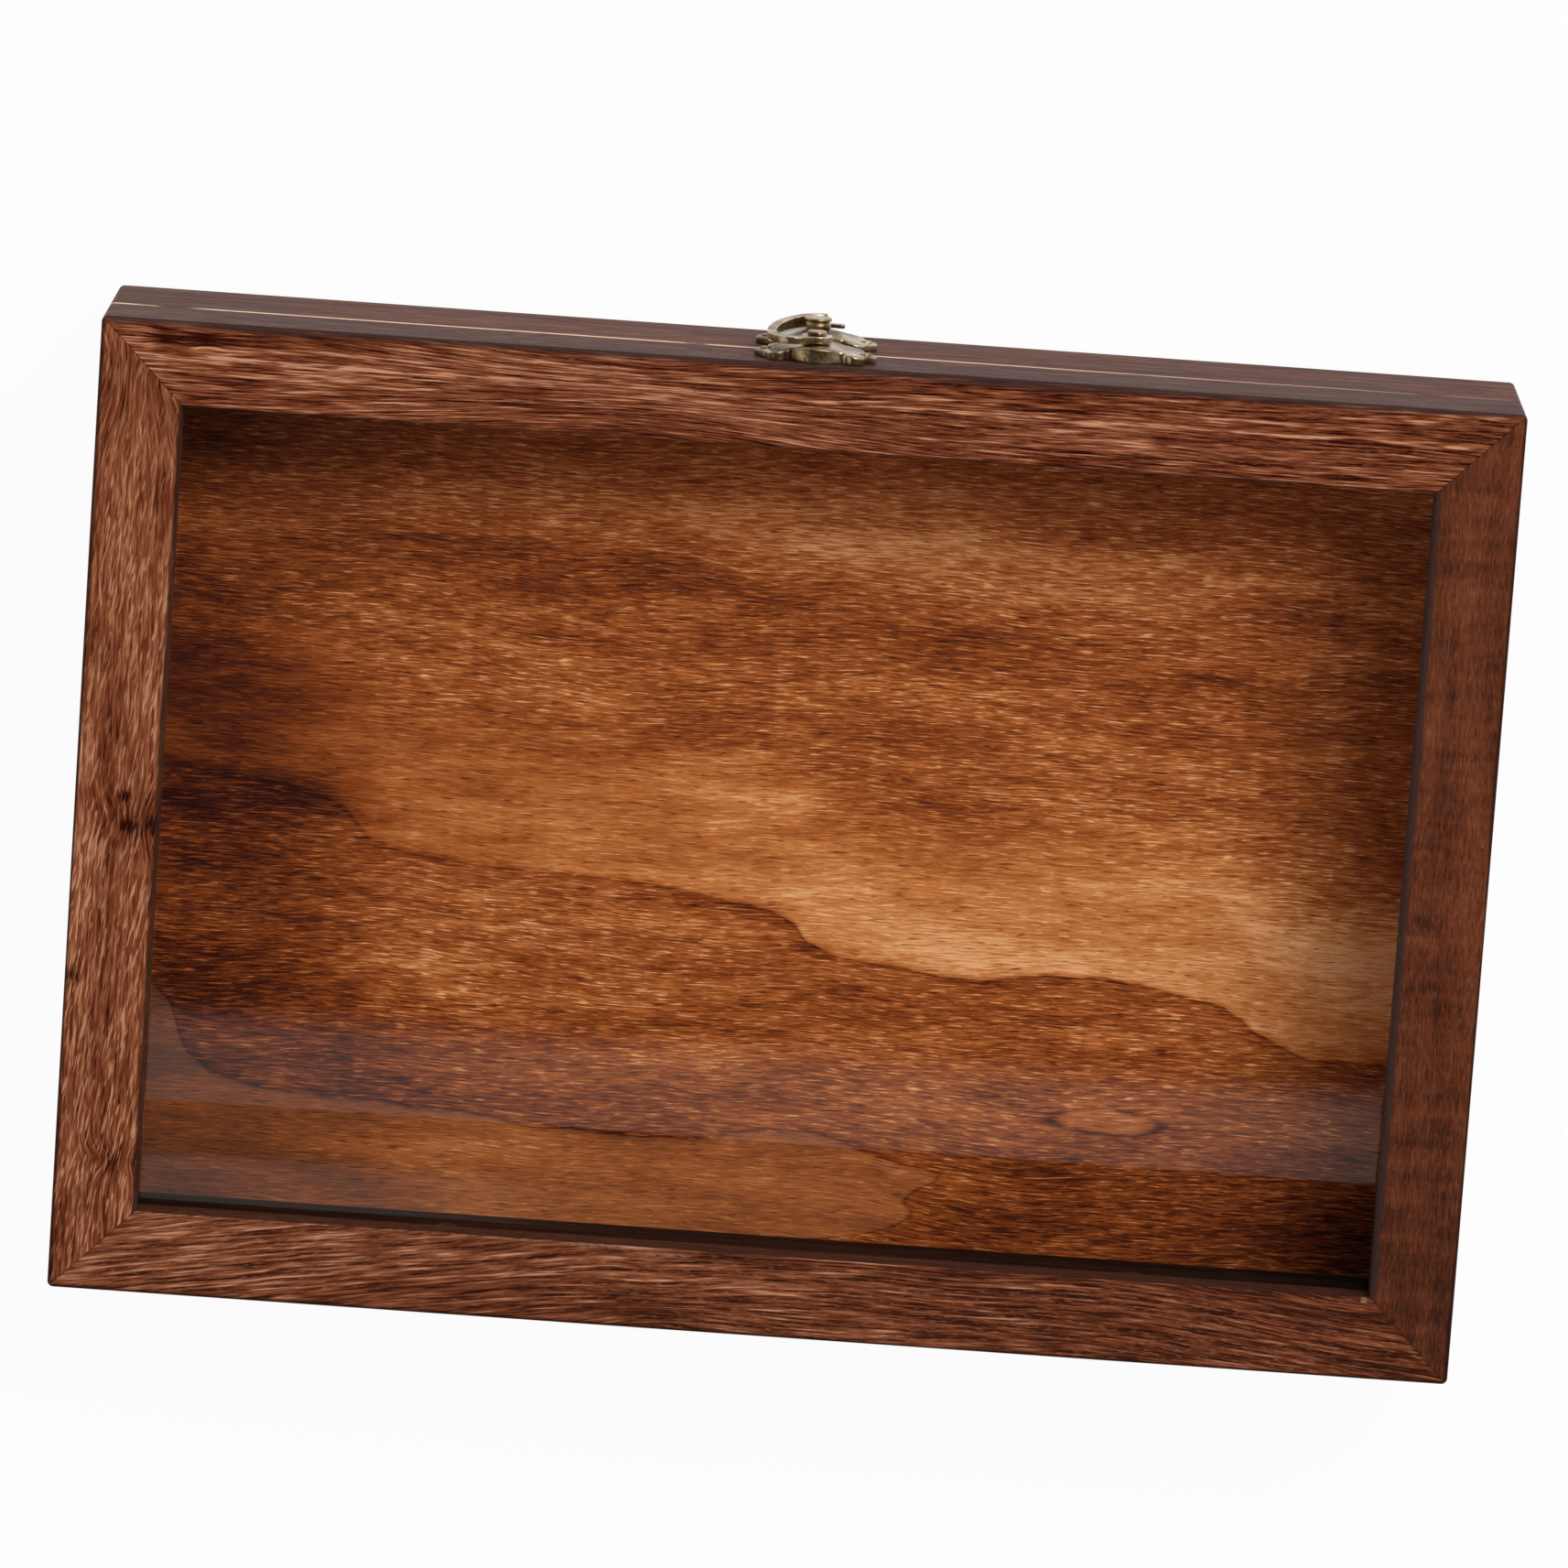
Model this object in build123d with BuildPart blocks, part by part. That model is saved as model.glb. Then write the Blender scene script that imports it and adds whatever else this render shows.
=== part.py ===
from build123d import *
import os

# A low wooden display case: a box with a plywood floor, a glazed lid hinged at the rear, and a
# hook latch in the middle of the front. Millimetres, +Z up, latch towards -Y. The origin is the
# middle of the underside.

# Case
case_width = 350
case_depth = 245
box_height = 33
lid_height = 22
corner_radius = 1.5
edge_round = 0.8
seam_chamfer = 0.6

# Box walls and floor
wall_thickness = 14
floor_thickness = 4
floor_rebate = 6
floor_gap = 0.5
box_spline_margin = 6

# Lid rails and glass
rail_width = 21
lip_height = 7.5
lip_chamfer = 0.5
glass_rebate = 6
glass_thickness = 2
glass_gap = 1
lid_spline_margin = 3

# Loose tongues in the mitres
spline_thickness = 3
spline_width = 8
mitre_angle = 45

# Panel pins under the floor
floor_pin_radius = 0.7
floor_pin_length = 14
floor_pin_head_radius = 1.4
floor_pin_head_height = 0.6
floor_pin_sink = 0.2
floor_pins_along = 4
floor_pins_across = 2
floor_pin_spacing_along = 96
floor_pin_spacing_across = 110

# Clips under the glass, with their places along the rails from the middle of the case
rear_clip_places = (-95, 77)
front_clip_places = (-84, 88)
clip_width = 5
clip_height = 10.5
clip_reach = 5.8
clip_foot_reach = 3.6
clip_screw_radius = 0.9
clip_screw_bite = 7
clip_screw_seat = 3.9
clip_screw_head_radius = 1.7
clip_screw_head_height = 0.8

# Hinges
hinge_place = 95
hinge_length = 26
knuckle_count = 5
knuckle_gap = 0.1
leaf_height = 13
leaf_thickness = 0.8
leaf_corner = 1.5
barrel_radius = 1.6
barrel_standoff = 2
barrel_clearance = 0.3
hinge_pin_radius = 0.9
hinge_pin_overhang = 0.6
hinge_pin_round = 0.4
hinge_running_fit = 0.05
hinge_screw_spacing = 15
hinge_screw_rise = 8
hinge_screw_radius = 0.9
hinge_screw_bite = 9
countersink_angle = 45
screw_slot_width = 0.5
screw_slot_depth = 0.3

# Latch plates
plate_body_radius = 8.8
plate_body_sweep = 39
plate_side_lobe_radius = 2.6
plate_side_lobe_place = (9.4, 5.4)
plate_side_lobe_start = -16
plate_side_lobe_sweep = 160
plate_end_lobe_radius = 2.9
plate_end_lobe_sweep = 70
plate_end_lobe_place = 12.2
plate_scallop = 0.25
plate_corner = 1
plate_edge = 1.8
plate_crown = 3.9
plate_shoulder = 7.7
plate_pad_radius = 3.5
plate_round = 0.5
plate_pin_radius = 0.7
plate_pin_bite = 9
plate_pin_head_radius = 1.5
plate_pin_head_height = 0.8
plate_pin_seat = 1.5

# Hook, knob and rivet; rise and drop are measured from the seam between box and lid
pivot_rise = 11
knob_drop = 10.5
hook_gap = 0.3
hook_thickness = 1.8
hook_horn_rise = 1.5
hook_horn_start = 5
hook_boss_radius = 3.8
hook_bar_width = 2.4
hook_bar_taper = 0.4
hook_bow_side = 2.2
hook_bow_drop = 10.9
hook_bow_length = 34
hook_bow_width = 16
hook_bow_tilt = 16
hook_end = 2.5
hook_tail_radius = 27.2
hook_tail_reach = 6.8
hook_tail_width = 2
hook_tail_thickness = 1
knob_radius = 3.45
knob_foot_radius = 2.5
knob_belly_radius = 3.3
knob_waist_radius = 2.6
knob_belly_height = 2.6
knob_disc_height = 0.8
knob_shank_radius = 1.2
knob_bite = 9
knob_round = 0.3
rivet_radius = 1.5
rivet_running_fit = 0.05
rivet_end_gap = 0.15
rivet_collar_radius = 2.4
rivet_head_radius = 2.45
rivet_head_height = 0.9
rivet_head_round = 0.35
rivet_bite = 10

# Fits: a shank in its hole, and a sunk head in its seat
shank_fit = 0.02
head_fit = 0.15

# Worked-out sizes of the case
case_height = box_height + lid_height
glass_top = case_height - lip_height
glass_bottom = glass_top - glass_thickness
box_inner_width = case_width - 2 * wall_thickness
box_inner_depth = case_depth - 2 * wall_thickness
lid_opening_width = case_width - 2 * rail_width
lid_opening_depth = case_depth - 2 * rail_width
rebate_width = lid_opening_width + 2 * glass_rebate
rebate_depth = lid_opening_depth + 2 * glass_rebate
lid_back_width = rail_width - glass_rebate

# Worked-out sizes of the fittings
hinge_axis_y = case_depth / 2 + barrel_standoff
knuckle_length = hinge_length / knuckle_count
pivot_height = box_height + pivot_rise
knob_height = box_height - knob_drop
hook_bottom = plate_crown + hook_gap
hook_top = hook_bottom + hook_thickness
hook_bow_height = pivot_height - hook_bow_drop
hook_low_end = hook_bow_height - (hook_bow_length + hook_bar_width) / 2

# Faces that carry fittings: local y is up and local z points away from the wood
front_face = Plane(origin=(0, -case_depth / 2, 0), x_dir=(1, 0, 0), z_dir=(0, -1, 0))
rear_face = Plane(origin=(0, case_depth / 2, 0), x_dir=(-1, 0, 0), z_dir=(0, 1, 0))
front_rebate = Plane(origin=(0, -rebate_depth / 2, 0), x_dir=(-1, 0, 0), z_dir=(0, 1, 0))
rear_rebate = Plane(origin=(0, rebate_depth / 2, 0), x_dir=(1, 0, 0), z_dir=(0, -1, 0))

# Places of the fittings on those faces
pivot = [(0, pivot_height)]
hook_pin_places = [(-plate_end_lobe_place, pivot_height), (plate_end_lobe_place, pivot_height)]
catch_pin_places = [(-plate_end_lobe_place, knob_height), (plate_end_lobe_place, knob_height)]
screw_columns = [
    hinge_side * hinge_place + screw_side * hinge_screw_spacing / 2
    for hinge_side in (-1, 1)
    for screw_side in (-1, 1)
]
lid_screw_places = [(column, box_height + hinge_screw_rise) for column in screw_columns]
box_screw_places = [(column, box_height - hinge_screw_rise) for column in screw_columns]
clip_screw_height = glass_bottom - clip_height / 2
rear_clip_screws = [(place, clip_screw_height) for place in rear_clip_places]
front_clip_screws = [(-place, clip_screw_height) for place in front_clip_places]

os.makedirs("parts", exist_ok=True)


def save(piece, name):
    """Label a finished piece and write it to its own file."""
    piece.part.label = name
    export_step(piece.part, f"parts/{name}.step")


def spline_plan(member_width):
    """Plan of four loose tongues, each square across the middle of its mitre."""
    across = case_width / 2 - member_width / 2
    along = case_depth / 2 - member_width / 2
    with BuildSketch() as plan:
        for side in (-1, 1):
            for end in (-1, 1):
                with Locations((side * across, end * along)):
                    Rectangle(spline_thickness, spline_width, rotation=side * end * mitre_angle)
    return plan.sketch


def floor_pin_plan(radius):
    """Plan of the panel pins: a row under each of the four walls."""
    row_width = box_inner_width + floor_rebate
    row_depth = box_inner_depth + floor_rebate
    with BuildSketch() as plan:
        with GridLocations(floor_pin_spacing_along, row_depth, floor_pins_along, 2):
            Circle(radius)
        with GridLocations(row_width, floor_pin_spacing_across, 2, floor_pins_across):
            Circle(radius)
    return plan.sketch


def circles(face, places, radius):
    """Circles of one radius at places on a face, for a row of heads, shanks or holes."""
    with BuildSketch(face) as plan:
        with Locations(*places):
            Circle(radius)
    return plan.sketch


def studs(face, places, radius, length):
    """Round studs that stand on a face of the part under construction."""
    extrude(circles(face, places, radius), amount=length)


def bore(face, places, radius, depth):
    """Round holes from a face of the part under construction; a negative depth goes outwards."""
    extrude(circles(face, places, radius), amount=-depth, mode=Mode.SUBTRACT)


# The box before its mitres are cut
with BuildPart() as box_frame:
    with BuildSketch():
        RectangleRounded(case_width, case_depth, corner_radius)
        Rectangle(box_inner_width, box_inner_depth, mode=Mode.SUBTRACT)
    extrude(amount=box_height)
    chamfer(box_frame.faces().sort_by(Axis.Z)[-1].outer_wire().edges(), seam_chamfer)
    fillet(box_frame.faces().sort_by(Axis.Z)[0].outer_wire().edges(), edge_round)
    with BuildSketch():
        Rectangle(box_inner_width + 2 * floor_rebate, box_inner_depth + 2 * floor_rebate)
    extrude(amount=floor_thickness, mode=Mode.SUBTRACT)
    with BuildSketch(Plane.XY.offset(box_spline_margin)):
        add(spline_plan(wall_thickness))
    extrude(amount=box_height - 2 * box_spline_margin, mode=Mode.SUBTRACT)
    with BuildSketch(Plane.XY.offset(floor_pin_sink)):
        add(floor_pin_plan(floor_pin_radius + shank_fit))
    extrude(amount=floor_pin_length, mode=Mode.SUBTRACT)
    bore(rear_face, box_screw_places, hinge_screw_radius + shank_fit, hinge_screw_bite)
    bore(front_face, catch_pin_places, plate_pin_radius + shank_fit, plate_pin_bite)
    bore(front_face, [(0, knob_height)], knob_shank_radius + shank_fit, knob_bite)

# The lid before its mitres are cut
with BuildPart() as lid_frame:
    with BuildSketch(Plane.XY.offset(box_height)):
        RectangleRounded(case_width, case_depth, corner_radius)
        Rectangle(lid_opening_width, lid_opening_depth, mode=Mode.SUBTRACT)
    extrude(amount=lid_height)
    fillet(lid_frame.faces().sort_by(Axis.Z)[-1].outer_wire().edges(), edge_round)
    chamfer(lid_frame.faces().sort_by(Axis.Z)[-1].inner_wires()[0].edges(), lip_chamfer)
    with BuildSketch(Plane.XY.offset(box_height)):
        Rectangle(rebate_width, rebate_depth)
    extrude(amount=glass_top - box_height, mode=Mode.SUBTRACT)
    with BuildSketch(Plane.XY.offset(box_height + lid_spline_margin)):
        add(spline_plan(lid_back_width))
    extrude(amount=lid_height - 2 * lid_spline_margin, mode=Mode.SUBTRACT)
    bore(rear_face, lid_screw_places, hinge_screw_radius + shank_fit, hinge_screw_bite)
    bore(front_face, hook_pin_places, plate_pin_radius + shank_fit, plate_pin_bite)
    bore(front_face, pivot, rivet_radius + shank_fit, rivet_bite)
    bore(rear_rebate, rear_clip_screws, clip_screw_radius + shank_fit, clip_screw_bite)
    bore(front_rebate, front_clip_screws, clip_screw_radius + shank_fit, clip_screw_bite)


def mitred_member(frame, turned, side):
    """One wall or rail of a frame: all of it that lies between the mitres at its two ends."""
    half_length = case_depth / 2 if turned else case_width / 2
    half_across = case_width / 2 if turned else case_depth / 2
    reach = 2 * rail_width
    outline = [
        (-half_length, side * half_across),
        (half_length, side * half_across),
        (half_length - reach, side * (half_across - reach)),
        (reach - half_length, side * (half_across - reach)),
    ]
    corners = [(y, x) for x, y in outline] if turned else outline
    with BuildPart() as member:
        add(frame.part)
        with BuildSketch():
            with BuildLine():
                Polyline(*corners, close=True)
            make_face()
        extrude(amount=case_height, mode=Mode.INTERSECT)
    return member


# The four walls and the four rails
save(mitred_member(box_frame, False, -1), "box_front_wall")
save(mitred_member(box_frame, False, 1), "box_rear_wall")
save(mitred_member(box_frame, True, -1), "box_left_wall")
save(mitred_member(box_frame, True, 1), "box_right_wall")
save(mitred_member(lid_frame, False, -1), "lid_front_rail")
save(mitred_member(lid_frame, False, 1), "lid_rear_rail")
save(mitred_member(lid_frame, True, -1), "lid_left_stile")
save(mitred_member(lid_frame, True, 1), "lid_right_stile")

# Loose tongues in the mitres of the box
with BuildPart() as box_corner_splines:
    with BuildSketch(Plane.XY.offset(box_spline_margin)):
        add(spline_plan(wall_thickness))
    extrude(amount=box_height - 2 * box_spline_margin)
save(box_corner_splines, "box_corner_splines")

# Loose tongues in the mitres of the lid
with BuildPart() as lid_corner_splines:
    with BuildSketch(Plane.XY.offset(box_height + lid_spline_margin)):
        add(spline_plan(lid_back_width))
    extrude(amount=lid_height - 2 * lid_spline_margin)
save(lid_corner_splines, "lid_corner_splines")

# Plywood floor, flush with the underside of the walls, with a sunk hole for each panel pin
with BuildPart() as floor_panel:
    with BuildSketch():
        Rectangle(
            box_inner_width + 2 * (floor_rebate - floor_gap),
            box_inner_depth + 2 * (floor_rebate - floor_gap),
        )
    extrude(amount=floor_thickness)
    with BuildSketch():
        add(floor_pin_plan(floor_pin_radius + shank_fit))
    extrude(amount=floor_thickness, mode=Mode.SUBTRACT)
    with BuildSketch():
        add(floor_pin_plan(floor_pin_head_radius + shank_fit))
    extrude(amount=floor_pin_sink + floor_pin_head_height, mode=Mode.SUBTRACT)
save(floor_panel, "floor_panel")

# Panel pins
with BuildPart() as floor_pins:
    with BuildSketch(Plane.XY.offset(floor_pin_sink)):
        add(floor_pin_plan(floor_pin_head_radius))
    extrude(amount=floor_pin_head_height)
    with BuildSketch(Plane.XY.offset(floor_pin_sink)):
        add(floor_pin_plan(floor_pin_radius))
    extrude(amount=floor_pin_length)
save(floor_pins, "floor_pins")

# Glass, held up against the lip of the rails
with BuildPart() as glass_pane:
    with BuildSketch(Plane.XY.offset(glass_bottom)):
        Rectangle(rebate_width - 2 * glass_gap, rebate_depth - 2 * glass_gap)
    extrude(amount=glass_thickness)
save(glass_pane, "glass_pane")


# Clips that hold the glass up: tapered blocks against the rebate, each bored for its screw
with BuildPart() as glazing_clips:
    for rebate, screws in ((rear_rebate, rear_clip_screws), (front_rebate, front_clip_screws)):
        for place, height in screws:
            middle = rebate.from_local_coords((place, 0, 0))
            with BuildSketch(Plane(middle, x_dir=rebate.z_dir, z_dir=-rebate.x_dir)):
                with BuildLine():
                    Polyline(
                        (0, glass_bottom),
                        (clip_reach, glass_bottom),
                        (clip_foot_reach, glass_bottom - clip_height),
                        (0, glass_bottom - clip_height),
                        close=True,
                    )
                make_face()
            extrude(amount=clip_width / 2, both=True)
        bore(rebate, screws, clip_screw_radius + shank_fit, -clip_reach)
        bore(rebate.offset(clip_screw_seat), screws, clip_screw_head_radius + head_fit, -clip_reach)
save(glazing_clips, "glazing_clips")

# Screws of the clips
with BuildPart() as glazing_clip_screws:
    for rebate, screws in ((rear_rebate, rear_clip_screws), (front_rebate, front_clip_screws)):
        screw_length = clip_screw_bite + clip_screw_seat
        studs(rebate.offset(-clip_screw_bite), screws, clip_screw_radius, screw_length)
        studs(rebate.offset(clip_screw_seat), screws, clip_screw_head_radius, clip_screw_head_height)
save(glazing_clip_screws, "glazing_clip_screws")


def hinge_leaf(place, is_lid_leaf):
    """A surface leaf with its knuckles; the box leaf has the knuckles at the two ends."""
    rise = leaf_height / 2 if is_lid_leaf else -leaf_height / 2
    other_first = 0 if is_lid_leaf else 1
    pin_hole_radius = hinge_pin_radius + (hinge_running_fit if is_lid_leaf else shank_fit)
    screw_places = lid_screw_places if is_lid_leaf else box_screw_places
    barrel_start = Plane.YZ.offset(place - hinge_length / 2)
    with BuildPart() as leaf:
        with BuildSketch(rear_face):
            with Locations((-place, box_height + rise)):
                Rectangle(hinge_length, leaf_height)
        extrude(amount=leaf_thickness)
        far_corners = leaf.edges().filter_by(Axis.Y).group_by(Axis.Z)[-1 if is_lid_leaf else 0]
        fillet(far_corners, leaf_corner)
        with BuildSketch(barrel_start):
            with Locations((hinge_axis_y, box_height)):
                Circle(barrel_radius)
        extrude(amount=hinge_length)
        for knuckle in range(other_first, knuckle_count, 2):
            with BuildSketch(barrel_start.offset(knuckle * knuckle_length - knuckle_gap)):
                with Locations((hinge_axis_y, box_height)):
                    Circle(barrel_radius + barrel_clearance)
            extrude(amount=knuckle_length + 2 * knuckle_gap, mode=Mode.SUBTRACT)
        with BuildSketch(barrel_start):
            with Locations((hinge_axis_y, box_height)):
                Circle(pin_hole_radius)
        extrude(amount=hinge_length, mode=Mode.SUBTRACT)
        sinks = circles(rear_face, screw_places, hinge_screw_radius + shank_fit)
        extrude(sinks, amount=leaf_thickness, taper=-countersink_angle, mode=Mode.SUBTRACT)
    return leaf


def hinge_pin(place):
    """The pin of one hinge, a little longer than its barrel and rounded at the ends."""
    with BuildPart() as pin:
        with BuildSketch(Plane.YZ.offset(place - hinge_length / 2 - hinge_pin_overhang)):
            with Locations((hinge_axis_y, box_height)):
                Circle(hinge_pin_radius)
        extrude(amount=hinge_length + 2 * hinge_pin_overhang)
        fillet(pin.edges().filter_by(GeomType.CIRCLE), hinge_pin_round)
    return pin


def hinge_screws(places):
    """Countersunk slotted screws of the leaves on one side of the seam."""
    with BuildPart() as screws:
        studs(rear_face.offset(-hinge_screw_bite), places, hinge_screw_radius, hinge_screw_bite)
        extrude(circles(rear_face, places, hinge_screw_radius), amount=leaf_thickness, taper=-countersink_angle)
        with BuildSketch(rear_face.offset(leaf_thickness)):
            with Locations(*places):
                Rectangle(3 * hinge_screw_radius, screw_slot_width)
        extrude(amount=-screw_slot_depth, mode=Mode.SUBTRACT)
    return screws


# Hinges
save(hinge_leaf(-hinge_place, False), "hinge_left_box_leaf")
save(hinge_leaf(-hinge_place, True), "hinge_left_lid_leaf")
save(hinge_leaf(hinge_place, False), "hinge_right_box_leaf")
save(hinge_leaf(hinge_place, True), "hinge_right_lid_leaf")
save(hinge_pin(-hinge_place), "hinge_left_pin")
save(hinge_pin(hinge_place), "hinge_right_pin")
save(hinge_screws(box_screw_places), "hinge_box_screws")
save(hinge_screws(lid_screw_places), "hinge_lid_screws")


def plate_outline():
    """Outline of a latch plate: a round body, four side lobes and two end lobes, scalloped between."""
    with BuildSketch() as outline:
        with BuildLine():
            body = CenterArc((0, 0), plate_body_radius, 90 - plate_body_sweep, plate_body_sweep)
            side = CenterArc(
                plate_side_lobe_place, plate_side_lobe_radius, plate_side_lobe_start, plate_side_lobe_sweep
            )
            end = CenterArc((plate_end_lobe_place, 0), plate_end_lobe_radius, 0, plate_end_lobe_sweep)
            SagittaArc(body @ 0, side @ 1, -plate_scallop)
            SagittaArc(side @ 0, end @ 1, -plate_scallop)
            mirror(about=Plane.YZ)
            mirror(about=Plane.XZ)
        make_face()
        fillet(outline.vertices(), plate_corner)
    return outline.sketch


def latch_plate(height, pin_places, middle_radius):
    """A scalloped plate that swells in the middle, with a flat pad and a hole there."""
    shoulder_height = (plate_edge + plate_crown) / 2
    with BuildPart() as plate:
        with BuildSketch(front_face):
            with Locations((0, height)):
                add(plate_outline())
        extrude(amount=2 * plate_crown)
        with BuildSketch(Plane.XY.offset(height - 2 * plate_body_radius)):
            with BuildLine():
                crown = ThreePointArc(
                    (-plate_shoulder, -case_depth / 2 - shoulder_height),
                    (0, -case_depth / 2 - plate_crown),
                    (plate_shoulder, -case_depth / 2 - shoulder_height),
                )
                right_end = TangentArc(
                    crown @ 1, (2 * plate_shoulder, -case_depth / 2 - plate_edge), tangent=crown % 1
                )
                left_end = TangentArc(
                    crown @ 0, (-2 * plate_shoulder, -case_depth / 2 - plate_edge), tangent=-(crown % 0)
                )
                Polyline(
                    right_end @ 1,
                    (2 * plate_shoulder, -case_depth / 2),
                    (-2 * plate_shoulder, -case_depth / 2),
                    left_end @ 1,
                )
            make_face()
        extrude(amount=4 * plate_body_radius, mode=Mode.INTERSECT)
        fillet(plate.faces().sort_by(Axis.Y)[0].outer_wire().edges(), plate_round)
        studs(front_face, [(0, height)], plate_pad_radius, plate_crown)
        sunk_radius = plate_pin_head_radius + head_fit
        bore(front_face.offset(plate_pin_seat), pin_places, sunk_radius, -plate_crown)
        with BuildSketch(front_face):
            with Locations(*pin_places):
                Circle(plate_pin_radius + shank_fit)
            with Locations((0, height)):
                Circle(middle_radius + shank_fit)
        extrude(amount=plate_crown, mode=Mode.SUBTRACT)
    return plate


def plate_pins(places):
    """Round-headed pins of one latch plate."""
    with BuildPart() as pins:
        studs(front_face.offset(plate_pin_seat), places, plate_pin_head_radius, plate_pin_head_height)
        crowns = pins.faces().filter_by(Axis.Y).group_by(Axis.Y)[0]
        fillet(crowns.edges(), plate_pin_head_height / 2)
        pin_length = plate_pin_bite + plate_pin_seat
        studs(front_face.offset(-plate_pin_bite), places, plate_pin_radius, pin_length)
    return pins


# Latch plates and their pins
save(latch_plate(pivot_height, hook_pin_places, rivet_radius), "hook_plate")
save(latch_plate(knob_height, catch_pin_places, knob_shank_radius), "catch_plate")
save(plate_pins(hook_pin_places), "hook_plate_pins")
save(plate_pins(catch_pin_places), "catch_plate_pins")


def knob_point(rise, radius):
    """A point of the knob's profile, by its rise from the wood and its distance from the axis."""
    return (-case_depth / 2 - rise, knob_height + radius)


# Knob: a round belly under a flat disc, on a shank into the box
with BuildPart() as catch_knob:
    with BuildSketch(Plane.YZ):
        with BuildLine():
            belly_top = plate_crown + knob_belly_height
            knob_top = belly_top + knob_disc_height
            shank = Polyline(
                knob_point(-knob_bite, 0),
                knob_point(-knob_bite, knob_shank_radius),
                knob_point(plate_crown, knob_shank_radius),
                knob_point(plate_crown, knob_foot_radius),
            )
            belly = ThreePointArc(
                shank @ 1,
                knob_point(plate_crown + knob_belly_height / 2, knob_belly_radius),
                knob_point(belly_top, knob_waist_radius),
            )
            Polyline(
                belly @ 1,
                knob_point(belly_top, knob_radius),
                knob_point(knob_top, knob_radius),
                knob_point(knob_top, 0),
                shank @ 0,
            )
        make_face()
    revolve(axis=Axis((0, 0, knob_height), (0, 1, 0)))
    fillet(catch_knob.faces().sort_by(Axis.Y)[0].edges(), knob_round)
save(catch_knob, "catch_knob")

# Rivet: a shank into the lid, a collar under the hook and a head over it
with BuildPart() as hook_rivet:
    head_start = hook_top + rivet_end_gap
    studs(front_face.offset(-rivet_bite), pivot, rivet_radius, rivet_bite + head_start)
    studs(front_face.offset(plate_crown), pivot, rivet_collar_radius, hook_gap - rivet_end_gap)
    studs(front_face.offset(head_start), pivot, rivet_head_radius, rivet_head_height)
    fillet(hook_rivet.faces().sort_by(Axis.Y)[0].edges(), rivet_head_round)
save(hook_rivet, "hook_rivet")

# Hook: a boss on the rivet, a leaning oval bow that passes under the knob and rises into a horn,
# and a thin tail that follows a circle round the rivet
tail_tip = hook_tail_reach - hook_tail_width / 2
tail_tip_drop = (hook_tail_radius**2 - tail_tip**2) ** 0.5
with BuildPart() as hook_arm:
    with BuildSketch(front_face.offset(hook_bottom)):
        with Locations((hook_bow_side, hook_bow_height)):
            Ellipse(
                (hook_bow_width + hook_bar_width) / 2,
                (hook_bow_length + hook_bar_width) / 2,
                rotation=-hook_bow_tilt,
            )
        with Locations((hook_bow_side, hook_bow_height - hook_bar_taper)):
            Ellipse(
                (hook_bow_width - hook_bar_width) / 2,
                (hook_bow_length - hook_bar_width) / 2,
                rotation=-hook_bow_tilt,
                mode=Mode.SUBTRACT,
            )
        with Locations((hook_bow_width - hook_end, hook_bow_height)):
            Rectangle(2 * hook_bow_width, 2 * hook_bow_length, mode=Mode.INTERSECT)
        with Locations((-hook_bow_width, hook_bow_height + hook_bow_length / 2)):
            Rectangle(2 * hook_bow_width, hook_bow_length, mode=Mode.SUBTRACT)
        with Locations((0, pivot_height)):
            Circle(hook_boss_radius)
    extrude(amount=hook_thickness + hook_horn_rise)
    with BuildSketch(Plane.YZ):
        with BuildLine():
            side_bottom = hook_low_end - hook_bar_width
            side_top = pivot_height + hook_bow_length
            Polyline(
                (-case_depth / 2 - hook_bottom, side_bottom),
                (-case_depth / 2 - hook_bottom, side_top),
                (-case_depth / 2 - hook_top, side_top),
                (-case_depth / 2 - hook_top, pivot_height - hook_horn_start),
                (-case_depth / 2 - hook_top - hook_horn_rise, hook_low_end),
                (-case_depth / 2 - hook_top - hook_horn_rise, side_bottom),
                close=True,
            )
        make_face()
    extrude(amount=2 * hook_bow_width, both=True, mode=Mode.INTERSECT)
    with BuildSketch(front_face.offset(hook_bottom)):
        with Locations((0, pivot_height)):
            Circle(hook_tail_radius + hook_tail_width / 2)
            Circle(hook_tail_radius - hook_tail_width / 2, mode=Mode.SUBTRACT)
        with Locations((-tail_tip / 2, pivot_height - hook_tail_radius)):
            Rectangle(tail_tip, hook_tail_radius, mode=Mode.INTERSECT)
        with Locations((-tail_tip, pivot_height - tail_tip_drop)):
            Circle(hook_tail_width / 2)
    extrude(amount=hook_tail_thickness)
    bore(front_face.offset(hook_top), pivot, rivet_radius + rivet_running_fit, hook_thickness)
save(hook_arm, "hook_arm")
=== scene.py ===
# %% [markdown]
# # A glazed display case
#
# The object is a low wooden case, 350 by 245 by 55 mm. Four mitred walls stand on a plywood
# floor, and a lid of four mitred rails holds a pane of glass. Two small hinges join them at the
# rear, and a hook of antique bronze closes them at the front. All of its parts are already here
# at their true size and place, so this lesson gives them their finishes, softens the metalwork,
# lights the case and looks at it through a long lens.

# %% Load the parts of the case
from math import cos, radians, sin

import bmesh
import bpy
from mathutils import Matrix, Vector


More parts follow.
